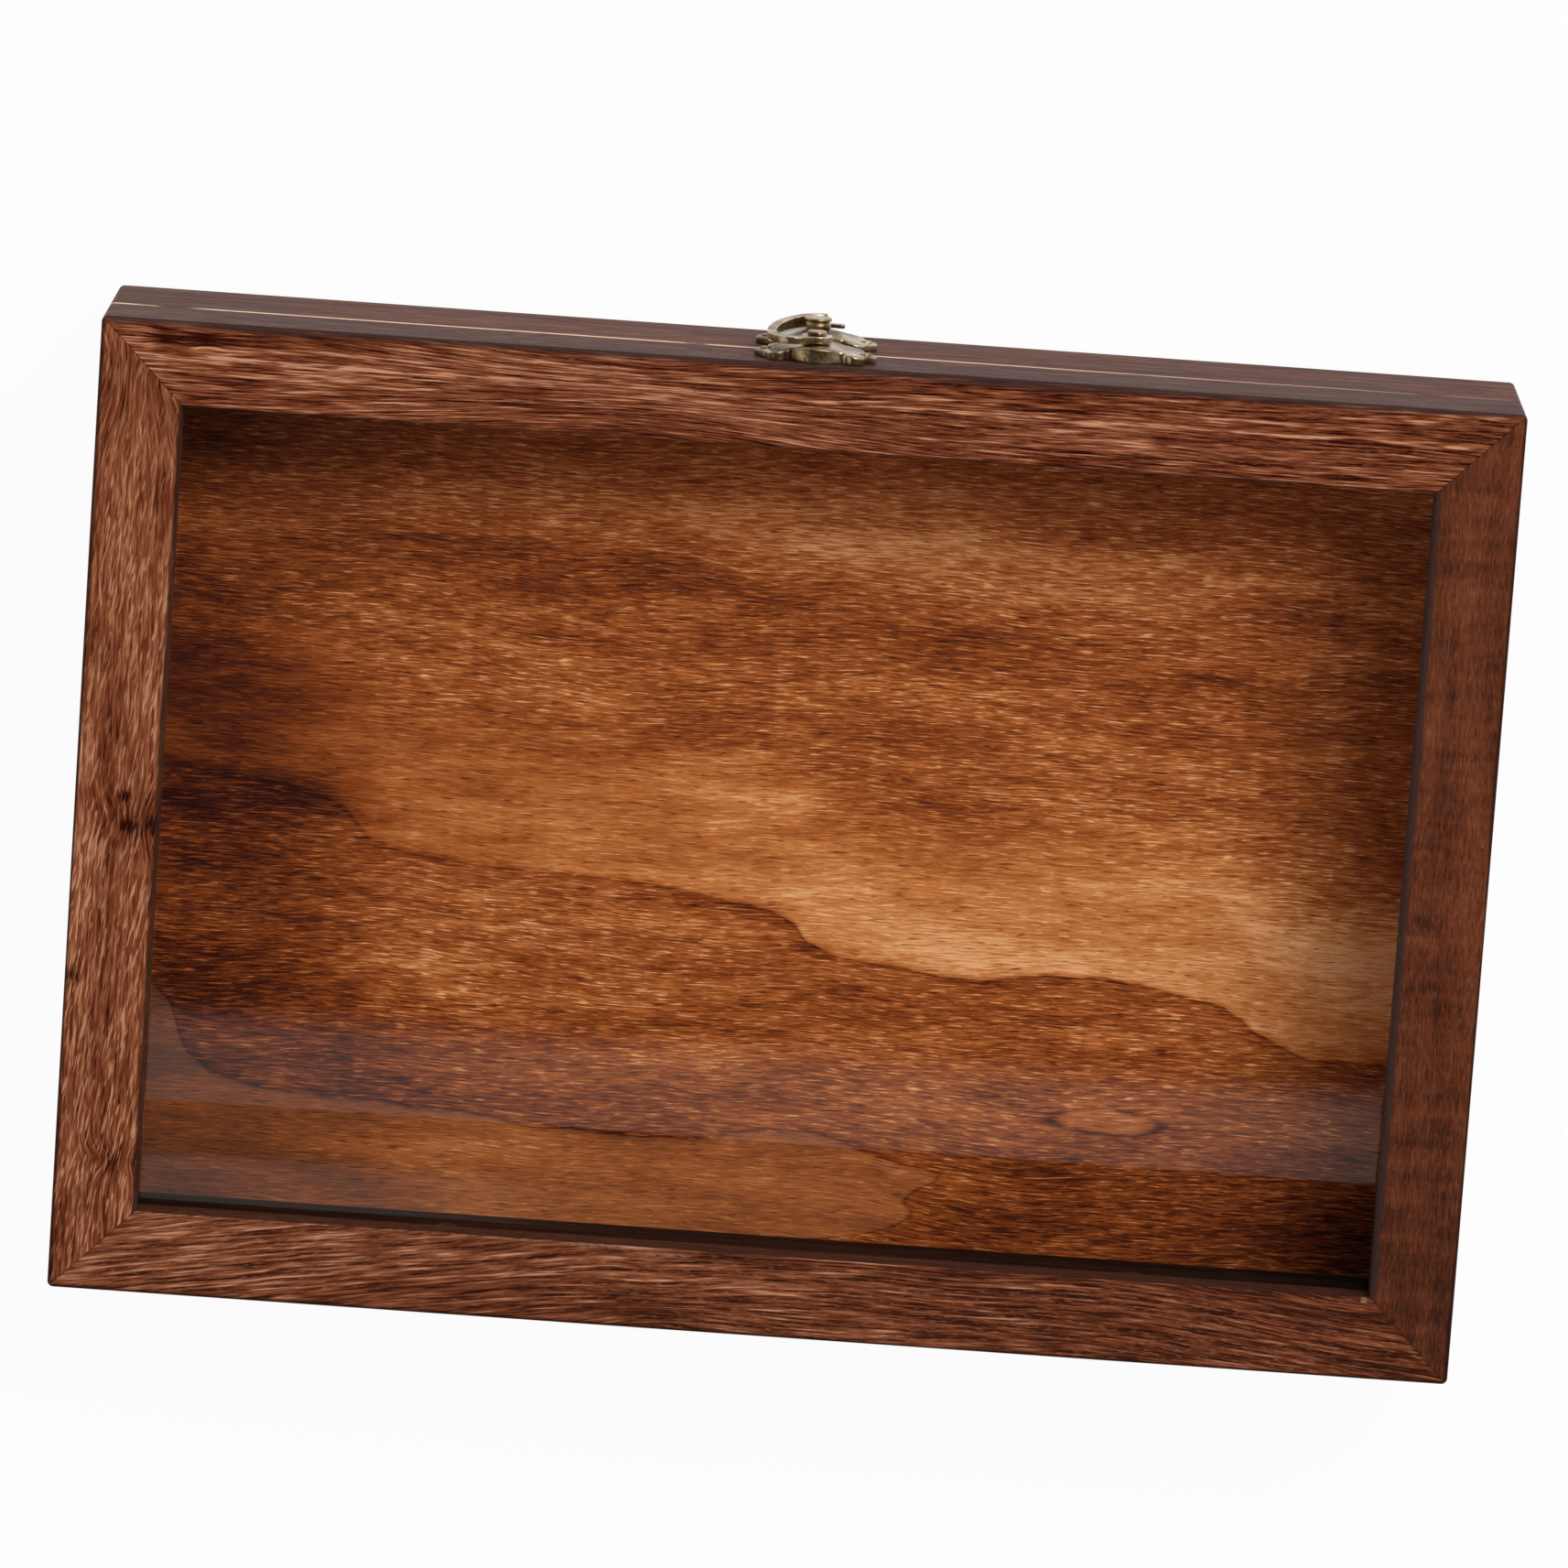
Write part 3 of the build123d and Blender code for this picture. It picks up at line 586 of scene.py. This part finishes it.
# %% Dress the rails and walls
WOOD_PIECES = {
    "lid_front_rail": dict(
        grain="X", seed=11, tone=0.43, slope=0.15,
        waves=2.2, length=1.35, ribbons=2.1, hairs=1.8, flecks=0.14,
        side=0.85, arris=2.3, arris_shade_colour=(0.045, 0.022, 0.019),
        knots=[
            (159, -118.2, 3, 1.9, 0.75), (149, -118.4, 4.5, 1.6, 0.7),
            (128, -120, 22, 3, 0.3), (45, -112, 45, 40, 0.06),
        ],
        pale_lines=[(-113.5, 0.5, 0.55), (-116.4, 0.3, 0.25)],
    ),
    "lid_rear_rail": dict(
        grain="X", seed=23, tone=0.362, slope=0.14, wash=0.1,
        waves=3.5, length=1.35, ribbons=2.3, hairs=1.6, flecks=0.22,
        inner_shade_amount=0.88, inner_shade_colour=SHADE_UMBER,
        sweeps=[(34, -0.16), (-95, 0.10)],
        knots=[(22, 116, 16, 5, 0.2)],
        chips=[
            (36, 102.1, 11, 0.5, 0.5), (22, 103.3, 6, 0.4, 0.6),
            (-152.6, 102.3, 0.8, 0.7, 0.8), (60, 102.0, 9, 0.3, 0.4),
        ],
    ),
    "lid_right_stile": dict(
        grain="Y", seed=37, tone=0.55, slope=-0.18,
        waves=3, length=0.8, ribbons=1.7, hairs=0.9, clouds=1.1, flecks=0.9, fleck_length=1.7,
        lean=0.16, pores=0.3, inner_edge=1.3, inner_shade_amount=0.9, inner_shade_colour=SHADE_UMBER,
        knots=[
            (3, 160, 5, 6, 0.22), (-3.3, 162.7, 1.0, 1.0, 0.9), (4.3, 161.3, 1.2, 1.3, 0.95),
            (3.4, 154.9, 1.4, 1.4, 0.9), (43, 173.5, 1.6, 1.6, 0.8), (89, 158, 3, 6, 0.3),
            (-108, 166, 10, 12, 0.14),
        ],
    ),
    "lid_left_stile": dict(
        grain="Y", seed=41, tone=0.27, slope=-0.04, wash=0.18, curl=0.55,
        waves=3, length=0.35, ribbons=0.6, hairs=0.55, clouds=0.55, flecks=0.08, pores=0.35,
        inner_edge=2.2, inner_shade_amount=0.9,
        knots=[(-70, -165, 35, 40, 0.06), (85, -165, 40, 40, 0.10)],
    ),
    "box_front_wall": dict(
        grain="X", seed=53, tone=0.32, ribbons=1.2, length=2.0, part="wall", bare_fade=(-230, 40)
    ),
    "box_rear_wall": dict(
        grain="X", seed=61, tone=0.36, ribbons=1.6, length=1.6, part="wall", below_pane_shade=0.97
    ),
    "box_left_wall": dict(grain="Y", seed=71, tone=0.34, ribbons=1.6, length=1.5, part="wall"),
    "box_right_wall": dict(grain="Y", seed=83, tone=0.36, ribbons=1.6, length=1.5, part="wall"),
}
for name, figure in WOOD_PIECES.items():
    dress(stained_wood("stained_" + name, **figure), name)

# %% [markdown]
# ## The plywood floor
#
# The floor's face veneer was peeled off a turning log, so its rings show as wide wandering
# contours instead of straight lines: each starts as a sharp dark line and fades into paler wood.
# A wave texture would give rings that are too even. Here each contour is a smooth curve drawn
# across the floor, the distance to it sets the tone, and thousands of short stretched cells of
# noise stand for the pale fibres and the fine dark pores.

# %% The figure of the plywood
FLOOR_HALF_WIDTH = 166 * MM
FLOOR_HALF_DEPTH = 114 * MM
VENEER_TONES = [
    (0.0, (0.020, 0.0012, 0.0002)),
    (0.2, (0.075, 0.0110, 0.0012)),
    (0.4, (0.177, 0.0345, 0.0040)),
    (0.6, (0.303, 0.0740, 0.0130)),
    (0.8, (0.463, 0.1560, 0.0410)),
    (1.0, (0.680, 0.3300, 0.1550)),
]
PORE = (0.030, 0.006, 0.002)
# A pale tint painted over the tongue as a faint reflection in the glass.
TONGUE_REFLECTION_TINT = (0.31, 0.155, 0.075)
RED_TINT = (1.0, 0.72, 0.52)

# Each contour is a list of places on the floor, across it and towards the rear, in millimetres.
# The long one crosses the whole floor. The tongue lies near the rear, and its tip is listed the
# other way round, rearwards and then across. The flame is the dark edge of a band near the front.
LONG_CONTOUR = [
    (-166, 52), (-146, 53), (-134, 52), (-125, 48), (-119, 44), (-110, 40), (-99, 38), (-86, 36),
    (-71, 36), (-56, 38), (-46, 38.5), (-32, 36.5), (-15, 34.5), (-8, 31.5), (-4.5, 27), (4, 24),
    (15, 22), (35, 19.5), (51, 18.5), (85, 16.5), (103, 13), (107.5, 9), (111, 5.5), (119, 2.5), (137, -1),
    (166, -3),
]
TONGUE_CONTOUR = [
    (-60, 91), (-45, 89), (-34, 87), (-26, 85), (-16, 81.5), (-6, 80.7), (7, 82.4), (13, 84.2), (48, 84.4),
    (60, 84.3), (66, 83), (88, 81.3), (107, 80.3), (124, 79.5), (134, 77.5), (143, 74), (148, 69), (152, 58),
    (160, 52),
]
TONGUE_TIP = [
    (84, -47), (88, -46), (91, -45), (94, -40), (97, -37), (100, -39), (103, -36), (106, -28), (109, -12),
    (114, 10),
]
FLAME_CONTOUR = [
    (-166, -60), (-145, -60), (-129, -63), (-118, -67), (-109, -65), (-100, -58), (-90, -56), (-73, -62),
    (-60, -58), (-50, -53), (-35, -50), (-22, -53), (-4, -56), (19, -61), (42, -65), (75, -66), (111, -65),
    (130, -62), (166, -60),
]

# Where the veneer drank more stain, or less: the place, the reach, the width and how much.
VENEER_SPOTS = [
    (50, -56, 30, 5, 0.06), (-45, -47, 40, 4, 0.06), (-120, -56, 16, 7, 0.14), (60, -84, 20, 5, -0.08),
    (-60, -84, 45, 5, -0.14), (10, -50, 45, 12, -0.06), (-45, 46, 30, 5, 0.08), (130, 8, 22, 8, 0.10),
    (95, 34, 75, 10, -0.13), (20, 86, 50, 12, 0.10), (150, -8, 25, 9, 0.03), (-150, 22, 25, 12, -0.14),
    (30, 44, 12, 6, -0.08), (20, -82, 60, 6, -0.05), (-150, -60, 18, 22, 0.05),
    (-15, 77, 25, 8, 0.09), (160, 24, 14, 22, -0.10), (158, -10, 12, 8, -0.10),
    (40, -42, 16, 2.2, 0.15), (-105, -42, 8, 1.4, 0.18), (-75, -45, 24, 5, 0.08),
]
print("spots on the veneer:", len(VENEER_SPOTS))


# %% The plywood
def as_curve(places, half_in, half_out):
    """Places in millimetres as points of a curve from 0 to 1 both ways."""
    return sorted(
        (0.5 + a * MM / (2 * half_in), 0.5 + b * MM / (2 * half_out)) for a, b in places
    )


def plywood_finish():
    """Rotary-cut veneer, stained: broad tones first, then contours, fibres and pores."""
    f = Finish("golden_plywood")
    x, y, z = f.place()

    # The grain ripples, and a contour is a little rough.
    ripple = f.noise(f.point(x, y, z), (26, 34, 1), 3, detail=2.0) - 0.5
    swell = f.noise(f.point(x, y, z), (9, 16, 1), 4, detail=1.0) - 0.5
    wavy = y + ripple * 2.6 * MM + swell * 7 * MM
    rough = f.noise(f.point(x, y, z), (120, 160, 1), 5, detail=2.0) - 0.5
    cross = y + rough * 2.2 * MM

    def contour(value, places, half_in, half_out):
        share = value / (2 * half_in) + 0.5
        return (share.along_curve(as_curve(places, half_in, half_out)) - 0.5) * (2 * half_out)

    # How far a place is past each contour, and how far inside the small closed ring, the eye.
    behind = cross - contour(x, LONG_CONTOUR, FLOOR_HALF_WIDTH, FLOOR_HALF_DEPTH)
    past = cross - contour(x, TONGUE_CONTOUR, FLOOR_HALF_WIDTH, FLOOR_HALF_DEPTH)
    tip = x + rough * 2 * MM - contour(y, TONGUE_TIP, FLOOR_HALF_DEPTH, FLOOR_HALF_WIDTH)
    tongue = past.least(tip)
    eye_x = (x + 87 * MM) / (13.6 * MM)
    eye_y = (cross - 73 * MM) / (3.1 * MM)
    eye = 1 - (eye_x * eye_x + eye_y * eye_y)

    # Broad tones: golden in front of the long contour, darker at the left rear, and darker at the right,
    # where the wall's shade is painted in.
    clouds = f.noise(f.point(x, wavy, z), (12, 60, 1), 6, detail=3.0)
    tone = (clouds - 0.5) * 0.5 + 0.50
    in_front = behind.between(-48 * MM, -24 * MM) * behind.between(0.25 * MM, -0.25 * MM)
    tone = tone + in_front * (x.between(130 * MM, 80 * MM) * 0.12 + x.between(45 * MM, -15 * MM) * 0.17)
    tone = tone + spot(x, wavy + x * 0.05, -16, -70, 115, 10) * 0.24
    tone = tone - (wavy * 0.25 + x).between(95 * MM, 135 * MM) * wavy.between(-62 * MM, -30 * MM) * 0.24
    # Painted shade: darker towards the right wall.
    tone = tone - x.between(118 * MM, 160 * MM) * 0.12
    tone = tone - x.between(-25 * MM, -70 * MM) * cross.between(70 * MM, 98 * MM) * 0.26
    for *place_and_size, depth in VENEER_SPOTS:
        tone = tone - spot(x, wavy, *place_and_size) * depth

    # Just past the long contour and the flame the wood is dark, and then it pales again. Blotches
    # cross it all, and inside the tongue and the eye it is paler.
    after = behind.between(0, 0.5 * MM) * behind.between(7 * MM, 0)
    tone = tone - after * 0.08
    flame = cross - contour(x, FLAME_CONTOUR, FLOOR_HALF_WIDTH, FLOOR_HALF_DEPTH)
    licked = flame.between(-2.0 * MM, 1.5 * MM) * flame.between(11 * MM, 1 * MM)
    licked = licked * x.between(140 * MM, 95 * MM) * (x.between(-15 * MM, 25 * MM) * 0.5 + 0.5)
    tone = tone - licked * (swell * 1.6 + 0.6) * 0.19
    blotches = f.noise(f.point(x, wavy, z), (32, 180, 1), 11, detail=2.0) - 0.5
    tone = tone + blotches * 0.5
    in_tongue = tongue.between(-0.2 * MM, 0.5 * MM)
    tone = tone + in_tongue * 0.07
    in_eye = eye.between(-0.1, 0.25)
    tone = tone + in_eye * 0.19

    # Fibres, pale dashes and dark pores, calmer in the tongue and the eye, and then the lines.
    fibres = f.noise(f.point(x, wavy, z), (140, 2300, 1), 8, detail=2.0, roughness=0.6)
    dashes = f.noise(f.point(x, wavy, z), (200, 2500, 1), 10, detail=1.0)
    pores = f.noise(f.point(x, wavy, z), (190, 2800, 1), 9, detail=1.0)
    smooth_face = 1 - in_tongue.most(in_eye) * 0.4
    calm = smooth_face * (1 - in_front * 0.5)
    tone = tone + (fibres - 0.5) * calm * 1.15
    tone = tone + dashes.between(0.59, 0.635) * calm * 0.30
    tone = tone - pores.between(0.61, 0.67) * 0.2
    outline = behind.bell(0.7 * MM) * 0.13
    outline = outline.most(tongue.bell(0.8 * MM) * 0.17).most(eye.bell(0.25) * 0.20)
    tone = tone - outline

    # One pin knot with its halo, one smudge, and the colours.
    knot = spot(x, y, 93, 92.4, 1.1, 0.6)
    halo = spot(x, y, 94, 92, 15, 2.6)
    smudge = spot(x, wavy, -107, -42, 9, 1.8)
    tone = tone + halo * 0.18 - knot * 0.35 - smudge * 0.16
    colour = f.node("ShaderNodeValToRGB", {"stops": VENEER_TONES}, {"Fac": tone})
    reddened = y.between(-45 * MM, -90 * MM).most(x.between(-128 * MM, -158 * MM)) * 0.7
    colour = f.blend(reddened, colour, RED_TINT, how="MULTIPLY")
    # Painted reflection: the tongue is tinted paler and greyer, as a faint reflection in the glass would
    # show it.
    colour = f.blend(in_tongue * 0.13, colour, TONGUE_REFLECTION_TINT)
    colour = f.blend(pores.between(0.66, 0.76) * 0.6, colour, PORE)

    height = fibres * 0.8 - pores * 0.4
    shader = f.principled(
        Base_Color=colour,
        Roughness=fibres.between(0.3, 0.7) * 0.15 + 0.45,
        Specular_IOR_Level=0.1,
        Normal=f.bump(height, 0.0002, 0.45),
    )
    return f.surface(shader)


# %% Dress the floor and the tongues in the mitres
FRESH_CUT = (0.42, 0.24, 0.12)


def raw_hardwood():
    f = Finish("raw_hardwood")
    x, y, z = f.place()
    grain = f.noise(f.point(x, y, z), (400, 400, 60), 2, detail=3.0)
    colour = f.blend(grain.between(0.3, 0.7), FRESH_CUT, RAW_WOOD)
    return f.surface(f.principled(Base_Color=colour, Roughness=0.7, Normal=f.bump(grain, 0.0002, 0.4)))


dress(plywood_finish(), "floor_panel")
dress(raw_hardwood(), "box_corner_splines", "lid_corner_splines")

# %% [markdown]
# ## The glass
#
# The pane is 2 mm of clear float glass. Real glass bends light, and a path tracer then lights
# what lies behind it slowly and badly, because no lamp can be reached in a straight line. So rays
# that only ask whether a lamp can be seen pass straight through, and every other ray meets glass.

# %% Dress the glass
def clear_glass():
    f = Finish("window_glass")
    smears = f.noise(f.point(*f.place()), (30, 45, 30), 1, detail=3.0)
    pane = f.principled(
        Base_Color=(0.97, 0.985, 0.98, 1),
        Roughness=smears.between(0.55, 0.8) * 0.03,
        IOR=1.45,
        Transmission_Weight=1.0,
    )
    clear = f.node("ShaderNodeBsdfTransparent", inputs={"Color": (0.95, 0.97, 0.96, 1)})
    shadow = f.node("ShaderNodeLightPath", output="Is Shadow Ray")
    return f.surface(f.node("ShaderNodeMixShader", inputs={0: shadow, 1: pane, 2: clear}))


dress(clear_glass(), "glass_pane")

# %% [markdown]
# ## The castings of the latch
#
# The plates, hook, knob and pins are exact solids with crisp edges, but castings that size come
# out of the mould and the tumbling barrel soft. Rounding each edge with a bevel would be slow work
# on so curved a shape. A skin of small even cells is laid over each solid instead and relaxed a few
# times, which rounds every edge alike. How far a point sank is kept on it: the edges sank
# most, and they are also what hands rub bright.


# %% Soften the castings
MERGE_DISTANCE = 1e-6
RELAX_SHARE = 0.5


def softened(name, body, cell, passes):
    """A copy of a casting under a skin of small cells, relaxed until its edges are round."""
    mesh = nodes[name].data.copy()
    form = bmesh.new()
    form.from_mesh(mesh)
    bmesh.ops.remove_doubles(form, verts=form.verts, dist=MERGE_DISTANCE)
    form.to_mesh(mesh)
    form.free()
    piece = bpy.data.objects.new(name + "_cast", mesh)
    scene.collection.objects.link(piece)
    skin = piece.modifiers.new("skin", "REMESH")
    skin.mode = "VOXEL"
    skin.voxel_size = cell * MM
    evaluated = piece.evaluated_get(bpy.context.evaluated_depsgraph_get())
    relaxed = bpy.data.meshes.new_from_object(evaluated)
    piece.modifiers.clear()
    piece.data = relaxed
    form = bmesh.new()
    form.from_mesh(relaxed)
    before = [point.co.copy() for point in form.verts]
    for _ in range(passes):
        bmesh.ops.smooth_vert(
            form, verts=form.verts, factor=RELAX_SHARE, use_axis_x=True, use_axis_y=True, use_axis_z=True
        )
    form.normal_update()
    wear = form.verts.layers.float.new("wear")
    for point, place in zip(form.verts, before):
        point[wear] = (place - point.co).dot(point.normal) / MM
    for face in form.faces:
        face.smooth = True
    form.to_mesh(relaxed)
    form.free()
    relaxed.materials.clear()
    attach(piece, body)
    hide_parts(name)
    sunk = sorted(value.value for value in relaxed.attributes["wear"].data)
    print(piece.name, "faces:", len(relaxed.polygons), "sank:", round(sunk[-1], 3), "mm")
    return piece


CASTINGS = [
    softened("hook_arm", "hook", 0.16, 5),
    softened("hook_plate", "lid", 0.19, 5),
    softened("catch_plate", "box", 0.19, 5),
    softened("catch_knob", "box", 0.13, 4),
    softened("hook_rivet", "lid", 0.13, 5),
    softened("hook_plate_pins", "lid", 0.12, 4),
    softened("catch_plate_pins", "box", 0.12, 4),
]

# %% [markdown]
# ## Metal and plastic
#
# The latch and hinges are die-cast and plated, then darkened and rubbed, so that they stay bright
# on every raised edge and go olive-brown in between. The castings carry their wear with them. On
# the hinges, whose edges are still sharp, a Bevel node tells how near an edge is: its rounded
# normal leans away from the true one there. The same node, used as the normal, rounds them.


# %% Metal finishes
TARNISH = (0.055, 0.032, 0.012)
CLIP_TONES = (0.010, 0.010, 0.011), (0.024, 0.023, 0.023)
BEVEL_SAMPLES = 6


def worn_metal(name, bright, patina, roughness, edge=0.35, cast=False, bare=0.0):
    """Metal rubbed bright on its edges: on castings by their wear, elsewhere by an edge's width."""
    f = Finish(name)
    x, y, z = f.place()
    place = f.point(x, y, z)
    mottle = f.noise(place, (700, 700, 700), 1, detail=4.0, roughness=0.6)
    patches = f.noise(place, (160, 160, 160), 2, detail=2.0)
    if cast:
        rounded = f.node("ShaderNodeNewGeometry", output="Normal")
        sunk = f.node("ShaderNodeAttribute", {"attribute_name": "wear"}, output=2)
        clear_of_wood = y.between(-CASE_HALF_DEPTH - 0.15 * MM, -CASE_HALF_DEPTH - 0.45 * MM)
        rubbed = sunk.between(0.012, 0.075) * clear_of_wood
        hollow = sunk.between(0.0, -0.03)
    else:
        rounded = f.node("ShaderNodeBevel", {"samples": BEVEL_SAMPLES}, {"Radius": edge * MM})
        true = f.node("ShaderNodeNewGeometry", output="Normal")
        inputs = {0: rounded, 1: true}
        agree = f.node("ShaderNodeVectorMath", {"operation": "DOT_PRODUCT"}, inputs, output="Value")
        rubbed = agree.between(0.985, 0.86)
        hollow = 0.0
    worn = rubbed * 0.9 + patches.between(0.45, 0.75) * 0.5
    worn = (worn * (mottle.between(0.3, 0.6) * 0.7 + 0.3)).least(1.0)
    colour = f.blend(worn, patina, bright)
    colour = f.blend(patches.between(0.52, 0.36) * (1 - rubbed) * 0.7, colour, TARNISH)
    colour = f.blend(hollow, colour, TARNISH)
    lumps = f.noise(place, (900, 900, 900), 3, detail=1.0)
    rounded = f.bump(lumps, 0.00022, 0.5, normal=rounded)
    shader = f.principled(
        Base_Color=colour,
        Metallic=1 - rubbed * bare,
        Roughness=roughness + (1 - worn) * 0.14 + mottle.between(0.3, 0.7) * 0.06,
        Normal=f.bump(mottle, 0.00008, 0.4, normal=rounded),
    )
    return f.surface(shader)


aged_bronze = worn_metal("aged_bronze", (0.72, 0.55, 0.30), (0.17, 0.115, 0.045), 0.22)
screw_steel = worn_metal("screw_steel", (0.66, 0.65, 0.62), (0.33, 0.31, 0.28), 0.28)
black_steel = worn_metal("black_steel", (0.045, 0.043, 0.041), (0.012, 0.012, 0.012), 0.3, edge=0.2)


def glossy_plastic():
    f = Finish("clip_plastic")
    rounded = f.node("ShaderNodeBevel", {"samples": BEVEL_SAMPLES}, {"Radius": 0.4 * MM})
    grain = f.noise(f.point(*f.place()), (900, 900, 900), 1, detail=2.0)
    colour = f.blend(grain, *CLIP_TONES)
    return f.surface(
        f.principled(
            Base_Color=colour,
            Roughness=grain * 0.1 + 0.1,
            Normal=f.bump(grain, 0.00005, 0.3, normal=rounded),
        )
    )


cast_bronze = worn_metal("cast_bronze", (0.96, 0.86, 0.72), (0.31, 0.205, 0.095), 0.17, cast=True, bare=0.5)
LATCH_PIECES = [
    "hook_arm", "hook_plate", "hook_plate_pins", "hook_rivet",
    "catch_plate", "catch_plate_pins", "catch_knob",
]
HINGE_PIECES = [name for name in nodes if name.startswith("hinge")]
for casting in CASTINGS:
    casting.data.materials.append(cast_bronze)
dress(aged_bronze, *LATCH_PIECES, *HINGE_PIECES)
dress(screw_steel, "floor_pins")
dress(black_steel, "glazing_clip_screws")
dress(glossy_plastic(), "glazing_clips")
